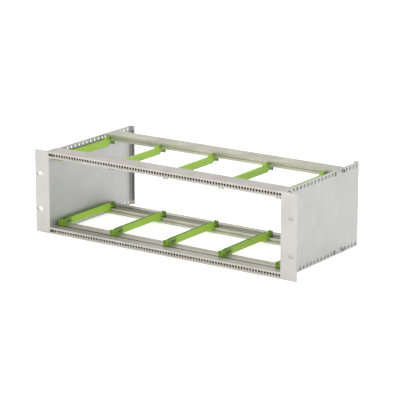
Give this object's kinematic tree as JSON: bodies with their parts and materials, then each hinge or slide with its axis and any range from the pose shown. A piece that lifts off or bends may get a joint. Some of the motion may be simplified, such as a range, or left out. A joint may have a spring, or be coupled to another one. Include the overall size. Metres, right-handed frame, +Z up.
{
  "type": "subrack card cage",
  "caption": "Open rack-mount frame of two side panels, four extruded rails and paired clip-in guides that hold plug-in circuit cards.",
  "frame": {"origin": "middle of the cage's footprint, on the surface that it stands on", "axes": "+X across the rack to the right seen from the front, +Y from the front face to the back, +Z up"},
  "size_m": [0.4826, 0.22, 0.1325],
  "materials": {
    "side_panel": "satin clear anodised sheet",
    "rack_flange": "satin clear anodised profile",
    "front_rail": "satin clear anodised extrusion",
    "rear_rail": "satin clear anodised extrusion",
    "threaded_strip": "zinc plated steel strip",
    "card_guide": "moulded green plastic",
    "screws": "dark zinc plated steel"
  },
  "bodies": {
    "root": {"side_panel_left": "side_panel", "side_panel_right": "side_panel", "rack_flange_left": "rack_flange", "rack_flange_right": "rack_flange", "front_rail_top": "front_rail", "front_rail_bottom": "front_rail", "rear_rail_top": "rear_rail", "rear_rail_bottom": "rear_rail", "front_strip_top": "threaded_strip", "front_strip_bottom": "threaded_strip", "rear_strip_top": "threaded_strip", "rear_strip_bottom": "threaded_strip", "card_guide_top_1": "card_guide", "card_guide_top_2": "card_guide", "card_guide_top_3": "card_guide", "card_guide_top_4": "card_guide", "card_guide_top_5": "card_guide", "card_guide_bottom_1": "card_guide", "card_guide_bottom_2": "card_guide", "card_guide_bottom_3": "card_guide", "card_guide_bottom_4": "card_guide", "card_guide_bottom_5": "card_guide", "front_screws_left": "screws", "front_screws_right": "screws", "rear_screws_left": "screws", "rear_screws_right": "screws"}
  },
  "joints": []
}
